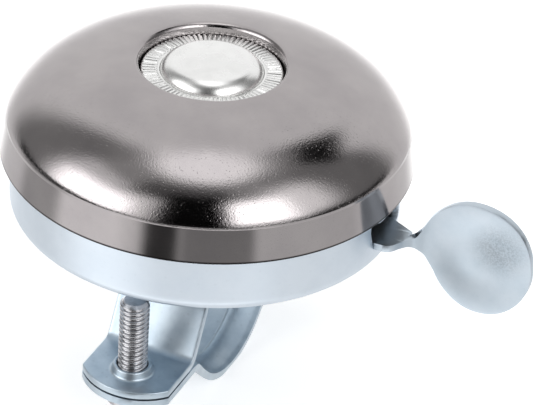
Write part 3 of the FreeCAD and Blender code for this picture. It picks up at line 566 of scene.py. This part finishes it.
def earPatch(side, bendY, height, hole):
    # rings of points from the screw's hole out to the ear's outline, whose end is one arc;
    # bendY is the bend line's distance from the middle at each step across the width
    chord, rise = clamp["halfWidth"], clamp["earLength"] - clamp["earCorner"]
    arcRadius = (chord ** 2 + rise ** 2) / (2 * rise)
    endY = clamp["earLength"] - arcRadius + np.sqrt(arcRadius ** 2 - widthSteps ** 2)
    sideY = np.linspace(bendY[-1], clamp["earCorner"], 9)[1:-1]
    outline = np.vstack((np.column_stack((widthSteps, bendY)),
                         np.column_stack((chord + 0 * sideY, sideY)),
                         np.column_stack((widthSteps, endY))[::-1],
                         np.column_stack((-chord + 0 * sideY, sideY[::-1]))))
    centre = np.array((0, clamp["screwReach"]))
    spoke = outline - centre
    inner = centre + hole * spoke / np.hypot(*spoke.T)[:, None]
    share = np.linspace(0, 1, 6)[None, :, None]
    ring = inner[:, None] * (1 - share) + outline[:, None] * share
    points = np.stack((ring[..., 0], side * ring[..., 1], np.full(ring.shape[:2], height)), -1)
    faces = gridFaces(*ring.shape[:2], wrapRows=True)
    return points, faces if side < 0 else faces[:, ::-1]


def evenPath(corners, count=150):
    # the rounded path between its first and last bend, resampled to equal steps of length
    path = roundedPath(corners, closed=False, spacing=0.2)[1:-1]
    length = np.concatenate(([0], np.cumsum(np.hypot(*np.diff(path, axis=0).T))))
    steps = np.linspace(0, length[-1], count)
    return np.column_stack([np.interp(steps, length, path[:, axis]) for axis in (0, 1)])


def foldedStrap(corners, edgeCorners, hole, ribbed=False):
    # a sheet's middle surface: a path of bends in YZ carried across the clamp's width, and
    # eased towards a second path near the two side edges
    middlePath, edgePath = evenPath(corners), evenPath(edgeCorners)
    share = smoothStep(np.abs(widthSteps), clamp["flangeStart"], clamp["halfWidth"])[None]
    y, z = (middlePath[:, axis][:, None] * (1 - share) + edgePath[:, axis][:, None] * share
            for axis in (0, 1))
    x = widthSteps[None] + 0 * y
    if ribbed:
        x = x * (1 - clamp["waist"] * (1 - smoothStep(np.abs(y), *clamp["waistEnds"])))
    points = np.stack((x, y, z), -1)
    if ribbed:
        # the rib stands out along the bar's radius and fades towards its two ends
        rise = clamp["ribHeight"] * (1 - smoothStep(np.abs(x), *clamp["ribFlank"]))
        rise = rise * (1 - smoothStep(np.abs(y), *clamp["ribEnds"]))
        points[..., 1:] *= (1 + rise / np.hypot(y, z))[..., None]
    ears = [earPatch(side, np.abs(y[0]), corners[0][1], hole) for side in (-1, 1)]
    return [(points, gridFaces(*points.shape[:2])[:, ::-1])] + ears


sheet = clamp["sheet"]
plate = clamp["seat"] + sheet / 2
ear = clamp["earTop"] - sheet / 2
foot = clamp["legReach"] + (clamp["flareTop"] - ear) * clamp["flareLean"]
earEnd = clamp["earLength"]
# half the bracket's bends, from the ear's end up the leg to the saddle
halfBends = [(earEnd, ear, 0), (foot, ear, clamp["footBend"]),
             (clamp["legReach"], clamp["flareTop"], clamp["kneeBend"]),
             (clamp["legReach"], plate, clamp["shoulderBend"])]
bends = [(-y, z, rounding) for y, z, rounding in halfBends] + halfBends[::-1]
mouth = roundedPath([(r, clamp["earTop"] + z, rounding) for r, z, rounding in clamp["collar"]],
                    spacing=0.06)
collars = [turned(mouth, 96, (0, side * clamp["screwReach"])) for side in (-1, 1)]
replaceNode("upper_bracket", foldedStrap(bends, bends, clamp["holeRadius"]), solid=sheet,
            bevel=clamp["bevel"])
makePiece("upper_bracket_collars", collars, metals["drawnClampZinc"], "base", "clamp_zinc", ())

strapEar = clamp["earTop"] - sheet - clamp["earGap"] - sheet / 2


def troughBends(radius, halfAngle):
    # ear, bend, arc under the bar, bend, ear; the flanks are tangent to the arc
    slope = np.radians(halfAngle)
    vertex = -radius / np.cos(slope)
    bendAt = (strapEar - vertex) / np.tan(slope)
    return [(-earEnd, strapEar, 0), (-bendAt, strapEar, clamp["footBend"]), (0, vertex, radius),
            (bendAt, strapEar, clamp["footBend"]), (earEnd, strapEar, 0)]


trough = troughBends(clamp["seat"] + sheet / 2, clamp["troughHalf"])
flange = troughBends(clamp["seat"] + sheet / 2 + clamp["flangeLift"], clamp["flangeHalf"])
replaceNode("lower_strap", foldedStrap(trough, flange, clamp["strapHole"], ribbed=True), solid=sheet,
            bevel=clamp["bevel"])
print("clamp made")

# ---- screws ----
screw = {"radius": 1.95, "pitch": 0.7, "threadDepth": 0.34, "valleySpan": (0.06, 0.42),
         "runOut": 0.25, "chamfer": 0.5, "tipStep": 0.1, "headRadius": 3.5, "headHeight": 2.4,
         "bearingRound": 0.15, "headRound": 1.0, "flatRadius": 2.7, "overlap": 0.3,
         "crossField": 2.4, "crossHalfLength": 1.9, "crossHalfWidth": 0.42, "crossDepth": 1.1,
         "lengthFade": (-0.12, 0.05), "widthFade": (-0.08, 0.1), "crossTaper": 0.45, "turn": 20.0,
         "turnSteps": 61, "stepsPerPitch": 14}


def screwShank(low, tip, shift):
    # radius = crest minus a rounded V; each row of points climbs one pitch for a turn round the axis
    angle = np.linspace(0, 2 * np.pi, screw["turnSteps"])[:, None]
    base = np.arange(low - screw["pitch"], tip, screw["pitch"] / screw["stepsPerPitch"])[None]
    height = np.clip(base + screw["pitch"] * angle / (2 * np.pi), low, tip)
    wave = base / screw["pitch"] % 1.0
    valley = 1 - smoothStep(np.abs(wave - 0.5), *screw["valleySpan"])
    cut = screw["threadDepth"] * valley * smoothStep(tip - height, 0.0, screw["runOut"])
    radius = screw["radius"] - cut
    radius = np.minimum(radius, screw["radius"] - screw["chamfer"] + tip - height)
    centre = np.zeros((len(angle), 1))
    radius = np.hstack((centre, radius, centre + radius[0, -1] - screw["tipStep"], centre))
    height = np.hstack((centre + low, height, centre + tip, centre + tip))
    points = np.stack((radius * np.cos(angle) + shift[0], radius * np.sin(angle) + shift[1],
                       height), -1)
    return points, gridFaces(*points.shape[:2])


def screwHead(bearing, shift):
    # flat bearing face, rounded pan below, and a cross pressed into the middle of its underside
    low = bearing - screw["headHeight"]
    profile = roundedPath([(0, bearing, 0), (screw["headRadius"], bearing, screw["bearingRound"]),
                           (screw["headRadius"], low, screw["headRound"]),
                           (screw["flatRadius"], low, 0)], closed=False, spacing=0.07)
    flat = np.linspace(screw["crossField"], 0, 26)
    profile = np.vstack((profile[:-1], np.column_stack((flat, np.full(len(flat), low)))))
    angle = np.linspace(0, 2 * np.pi, 145)[:, None]
    r, z = profile[:, 0][None], profile[:, 1][None]
    turn = np.radians(screw["turn"])
    u, v = np.abs(r * np.cos(angle - turn)), np.abs(r * np.sin(angle - turn))
    long, wide = screw["crossHalfLength"], screw["crossHalfWidth"]
    longFade, wideFade = long + np.array(screw["lengthFade"]), wide + np.array(screw["widthFade"])
    arms = [(1 - smoothStep(a, *longFade)) * (1 - smoothStep(b, *wideFade))
            for a, b in ((u, v), (v, u))]
    taper = 1 - screw["crossTaper"] * smoothStep(r, 0.6, long)
    deep = np.maximum(*arms) * (z < low + 1e-3) * taper
    points = np.stack((r * np.cos(angle) + shift[0], r * np.sin(angle) + shift[1],
                       z + screw["crossDepth"] * deep + 0 * angle), -1)
    return points, gridFaces(*points.shape[:2])[:, ::-1]


for node, side in (("front_clamp_screw", -1), ("rear_clamp_screw", 1)):
    low, high = cadSize(node)
    place = (0, side * clamp["screwReach"])
    bearing = low[2] + screw["headHeight"]
    replaceNode(node, [screwShank(bearing - screw["overlap"], high[2], place), screwHead(bearing, place)])
print("screws made")

# ---- lever ----
lever = {"top": 16.0, "sheet": 1.0, "paddleBevel": 0.2, "plateBevel": 0.06,
         "paddleMiddle": (39.0, 15.15), "faceY": 1.1, "foldX": 29.5, "foldSlope": 1.854,
         "foldSoft": 1.0, "dish": 0.26, "dishRadius": 7.6, "dishFade": (0.35, 0.97),
         "neckStart": 27.45, "neckEnd": 31.5, "neckColumns": 28, "ovalColumns": 70, "rows": 41,
         "pivot": (18.2, -0.3), "boss": 4.6, "bossArc": (84.0, 313.1), "fanGap": 1.0, "bore": 1.55,
         "skin": 0.01, "neckInset": 0.03, "averaging": 13}
# skin keeps the plate's faces inside the sheet's, and neckInset the neck's edges inside the
# plate's, so that no two of them lie in one plane
# the paddle's outline: radius by direction in degrees, leaving out the neck's side
lever["outline"] = ((-150, 7.15), (-124, 7.47), (-106, 7.95), (-88, 8.09), (-72, 8.04), (-56, 7.84),
                    (-38, 7.45), (-16, 7.15), (1, 6.9), (25, 7.03), (49, 7.39), (72, 7.67),
                    (95, 7.95), (111, 8.22), (133, 8.3), (150, 8.41))
# corners of the strip that goes out through the slot, from the boss round to the fan
lever["strip"] = ((21.34, -3.6, 0), (27.8, -3.6, 1.6), (28.9, -1.5, 0.6), (29.3, 1.2, 0.4),
                  (25.5, 3.1, 1.0), (18.7, 4.27, 0))
leverLow = lever["top"] - lever["sheet"]
px, pz = lever["paddleMiddle"]


def sheetY(x, z):
    # middle of the sheet: in plan a slanted run that turns along X with a soft hyperbola corner,
    # plus a shallow dish pressed into the thumb's side
    run = lever["foldX"] - x
    plan = lever["faceY"] - lever["foldSlope"] * (run + np.sqrt(run ** 2 + lever["foldSoft"] ** 2)) / 2
    away = np.hypot(x - px, z - pz) / lever["dishRadius"]
    return plan + lever["dish"] * (1 - smoothStep(away, *lever["dishFade"]))


# outline: radius by direction, averaged a little, then the neck's two sides as (x, z, rounding)
angle = np.radians(np.linspace(-150, 150, 140))
radius = np.interp(np.degrees(angle), *zip(*lever["outline"]))
window = lever["averaging"]
padded = np.pad(radius, window // 2, mode="reflect", reflect_type="odd")
radius = np.convolve(padded, np.full(window, 1 / window), "valid")
oval = np.column_stack((px + radius * np.cos(angle), pz + radius * np.sin(angle)))
neckTopZ, neckLowZ = lever["top"] - lever["neckInset"], leverLow + lever["neckInset"]
neckTop = roundedPath([(*oval[-1], 0), (30.75, 17.3, 1.8), (29.9, neckTopZ, 0.9),
                       (lever["neckStart"], neckTopZ, 0)], closed=False, spacing=0.2)
neckLow = roundedPath([(lever["neckStart"], neckLowZ, 0), (29.0, leverLow - 0.15, 1.5),
                       (31.3, 13.7, 1.8), (*oval[0], 0)], closed=False, spacing=0.2)
tip = int(np.argmax(oval[:, 0]))
upper = np.vstack((neckTop[::-1], oval[:tip - 1:-1][1:]))
lower = np.vstack((neckLow, oval[1:tip + 1]))
# upright rows of points, close together in the neck and again towards the rounded end
neckEnd = lever["neckEnd"]
bunched = np.sin(np.linspace(0, np.pi / 2, lever["ovalColumns"]))[1:]
columns = np.concatenate((np.linspace(lever["neckStart"], neckEnd, lever["neckColumns"]),
                          neckEnd + (oval[tip, 0] - neckEnd) * bunched))
high, low = (np.interp(columns, *side.T)[:, None] for side in (upper, lower))
z = low + (high - low) * np.linspace(0, 1, lever["rows"])[None]
x = columns[:, None] + 0 * z
# central differences give the sheet's slope, and half its thickness goes to each side of it
nudge = 1e-3
slopeX = (sheetY(x + nudge, z) - sheetY(x - nudge, z)) / (2 * nudge)
slopeZ = (sheetY(x, z + nudge) - sheetY(x, z - nudge)) / (2 * nudge)
normal = np.stack((-slopeX, 1 + 0 * x, -slopeZ), -1)
normal *= lever["sheet"] / 2 / np.linalg.norm(normal, axis=-1, keepdims=True)
middle = np.stack((x, sheetY(x, z), z), -1)
paddle = np.concatenate((middle - normal, (middle + normal)[:, ::-1]), 1)
endCap = paddle[:1] * 0 + paddle[:1].mean(1, keepdims=True)
paddle = np.concatenate((endCap, paddle), 0)
makePiece("thumb_lever_paddle", [(paddle, gridFaces(*paddle.shape[:2], wrapColumns=True))],
          metals["stampedLeverZinc"], "lever", "lever_zinc", (), bevel=lever["paddleBevel"])

# flat plate: boss round the pin, strip out through the slot, and a fan with involute teeth
gear = {"module": 0.6, "teeth": 30, "pressure": 25.0, "addendum": 0.48, "dedendum": 0.63,
        "backlash": 0.09, "meshAngle": 141.295, "fanStart": -34.0, "fanEnd": 14.0, "fanTeeth": 4,
        "footFlare": 1.02}
pitchRadius = gear["module"] * gear["teeth"] / 2
baseRadius = pitchRadius * np.cos(np.radians(gear["pressure"]))
flankRadii = np.linspace(max(baseRadius, pitchRadius - gear["dedendum"]), pitchRadius + gear["addendum"], 5)
roll = np.arccos(np.clip(baseRadius / flankRadii, -1, 1))
involute = np.tan(np.radians(gear["pressure"])) - np.radians(gear["pressure"])
halfTooth = (np.pi * gear["module"] / 2 - gear["backlash"] / 2) / 2 / pitchRadius
flankAngles = halfTooth + involute - (np.tan(roll) - roll)
footRadius = pitchRadius - gear["dedendum"]
toothRadii = np.concatenate(([footRadius], flankRadii, flankRadii[::-1], [footRadius]))
footAngle = flankAngles[0] * gear["footFlare"]
toothAngles = np.concatenate(([-footAngle], -flankAngles, flankAngles[::-1], [footAngle]))
toothPitch = 360 / gear["teeth"]
firstTooth = -(gear["fanTeeth"] // 2)
order = np.arange(firstTooth, firstTooth + gear["fanTeeth"])
places = np.radians(gear["meshAngle"] + toothPitch * order[:, None])
fanFrom, fanTo = gear["meshAngle"] + gear["fanStart"], gear["meshAngle"] + gear["fanEnd"]
fanAngles = np.concatenate(([np.radians(fanFrom)], (places + toothAngles).ravel(), [np.radians(fanTo)]))
fanRadii = np.concatenate(([footRadius], np.tile(toothRadii, gear["fanTeeth"]), [footRadius]))
boss = lever["boss"]
leftArc = np.radians(np.linspace(fanTo + lever["fanGap"], lever["bossArc"][1], 60))
rightArc = np.radians(np.linspace(lever["bossArc"][0], fanFrom - lever["fanGap"], 10))
strip = roundedPath(lever["strip"], closed=False, spacing=0.2) - np.array(lever["pivot"])
outlineRing = np.vstack((np.column_stack((boss * np.cos(leftArc), boss * np.sin(leftArc))),
                         strip[1:-1],
                         np.column_stack((boss * np.cos(rightArc), boss * np.sin(rightArc))),
                         np.column_stack((fanRadii * np.cos(fanAngles), fanRadii * np.sin(fanAngles)))))
inner = lever["bore"] * outlineRing / np.hypot(*outlineRing.T)[:, None]
share = np.array((0, 0.3, 0.65, 1.0))[None, :, None]
ring = inner[:, None] * (1 - share) + outlineRing[:, None] * share + np.array(lever["pivot"])
# the section runs out along the underside and back along the top, so the plate is one closed ring
low, high = (np.full((*ring.shape[:2], 1), z)
             for z in (leverLow + lever["skin"], lever["top"] - lever["skin"]))
underside, topside = np.concatenate((ring, low), -1), np.concatenate((ring, high), -1)
slab = np.concatenate((underside, topside[:, ::-1]), 1)
replaceNode("thumb_lever", [(slab, gridFaces(*slab.shape[:2], wrapRows=True, wrapColumns=True))],
            bevel=lever["plateBevel"])
print("lever made")

# ---- floor, light and camera ----
stageValues = {"floorGap": 0.05, "floorHalf": 3.0, "floorTone": "#F6F6F6", "floorRoughness": 0.9,
               "floorGlow": 0.45}
floorZ = cadBox[0].z - stageValues["floorGap"] * millimetre
reach = stageValues["floorHalf"]
floorMesh = bpy.data.meshes.new("studioFloor")
floorCorners = [(x * reach, y * reach, floorZ) for x, y in ((-1, -1), (1, -1), (1, 1), (-1, 1))]
floorMesh.from_pydata(floorCorners, [], [(0, 1, 2, 3)])
floor = bpy.data.objects.new("studioFloor", floorMesh)
scene.collection.objects.link(floor)
floorMaterial = bpy.data.materials.new("paleFloor")
floorMaterial.use_nodes = True
floorShader = floorMaterial.node_tree.nodes["Principled BSDF"]
for socket, value in (("Base Color", linear(stageValues["floorTone"])),
                      ("Roughness", stageValues["floorRoughness"]),
                      ("Emission Color", (1.0, 1.0, 1.0, 1.0)),
                      ("Emission Strength", stageValues["floorGlow"])):
    floorShader.inputs[socket].default_value = value
floorMesh.materials.append(floorMaterial)
floor.visible_glossy = False    # the metals see the tent all round, so they look alike from every side

# white tent with softboxes and dark gaps; each patch is (azimuth, elevation, half width, half
# height, edge softness, strength), in degrees, with the azimuth counted from +X towards +Y
tent = {"back": 0.95, "patches": [
    (0, 90, 360, 15, 12, 1.65),       # top light
    (-60, 62, 130, 10, 10, 0.4),
    (-82, 56, 38, 11, 12, 0.12),
    (180, 30, 18, 36, 18, 0.27),
    (22, 30, 30, 34, 14, 0.22),
    (56, 53, 16, 9, 8, 0.0),
    (-6, 34, 16, 22, 22, 1.3),
    (-131, 19, 22, 16, 20, 3.5),      # key softbox, front left
    (-34, 30, 18, 18, 16, 3.2),       # second softbox, front right
    (-73, 24, 21, 33, 9, 0.0),        # gap between them, where the camera stands
    (112, -18, 30, 14, 24, 1.9),      # pale table behind, and its darker front
    (-130, -18, 22, 13, 12, 1.25),
    (-165, -18, 16, 13, 12, 0.55),
    (-88, -18, 10, 13, 8, 0.05),
    (-58, -18, 20, 13, 8, 0.3),
    (-8, -18, 30, 13, 10, 0.75),
    (45, -18, 14, 13, 8, 0.9),
    (-70, -1.5, 115, 5, 4, 0.03),     # edge of the table
    (-85, -43, 60, 11, 8, 1.5),       # table close in front
]}
world = bpy.data.worlds.new("studioTent")
scene.world = world
world.use_nodes = True
tree = world.node_tree
tree.nodes.clear()
direction = addNode(tree, "ShaderNodeTexCoord").outputs["Generated"]
axes = addNode(tree, "ShaderNodeSeparateXYZ", {"Vector": direction})
azimuth = addNode(tree, "ShaderNodeMath", {0: axes.outputs["Y"], 1: axes.outputs["X"]},
                  operation="ARCTAN2").outputs[0]
elevation = addNode(tree, "ShaderNodeMath", {0: axes.outputs["Z"]}, operation="ARCSINE").outputs[0]
level = tent["back"]
for middleAz, middleEl, halfAz, halfEl, soft, strength in tent["patches"]:
    # how far inside the patch a direction is, each way, with the azimuth wrapped round
    around = addNode(tree, "ShaderNodeMath", {0: azimuth, 1: np.radians(middleAz)},
                     operation="SUBTRACT").outputs[0]
    wrapped = addNode(tree, "ShaderNodeMath", {0: around, 1: np.pi, 2: -np.pi},
                      operation="WRAP").outputs[0]
    sides = []
    for value, middleValue, halfSize in ((wrapped, 0, halfAz), (elevation, np.radians(middleEl), halfEl)):
        off = addNode(tree, "ShaderNodeMath", {0: value, 1: middleValue}, operation="SUBTRACT").outputs[0]
        off = addNode(tree, "ShaderNodeMath", {0: off}, operation="ABSOLUTE").outputs[0]
        sides.append(addNode(tree, "ShaderNodeMapRange", {
            "Value": off, "From Min": np.radians(halfSize + soft / 2),
            "From Max": np.radians(halfSize - soft / 2), "To Min": 0.0, "To Max": 1.0},
            interpolation_type="SMOOTHSTEP").outputs[0])
    covered = addNode(tree, "ShaderNodeMath", {0: sides[0], 1: sides[1]}, operation="MULTIPLY").outputs[0]
    level = addNode(tree, "ShaderNodeMix", {0: covered, 2: level, 3: strength}).outputs[0]
# seen directly the tent is plain white
ray = addNode(tree, "ShaderNodeLightPath").outputs["Is Camera Ray"]
shown = addNode(tree, "ShaderNodeMix", {0: ray, 2: level, 3: 1.0}).outputs[0]
background = addNode(tree, "ShaderNodeBackground", {"Color": (1.0, 1.0, 1.0, 1.0), "Strength": shown})
addNode(tree, "ShaderNodeOutputWorld", {"Surface": background.outputs[0]})

camera = bpy.data.objects.new("camera", bpy.data.cameras.new("camera"))
scene.collection.objects.link(camera)
view = {"place": (135.01, -309.0, 229.65), "right": (0.9095, 0.4116, 0.0582),
        "up": (-0.2681, 0.4738, 0.8388), "ahead": (-0.3177, 0.7785, -0.5413), "lens": 202.6,
        "sensor": 36.0, "clipStart": 0.01}
right, up, ahead = (Vector(view[axis]) for axis in ("right", "up", "ahead"))
turnMatrix = Matrix((right, up, -ahead)).transposed().to_4x4()
camera.matrix_world = Matrix.Translation(Vector(view["place"]) * millimetre) @ turnMatrix
camera.data.lens = view["lens"]
camera.data.sensor_width = view["sensor"]
camera.data.clip_start = view["clipStart"]
scene.camera = camera
print("stage ready")
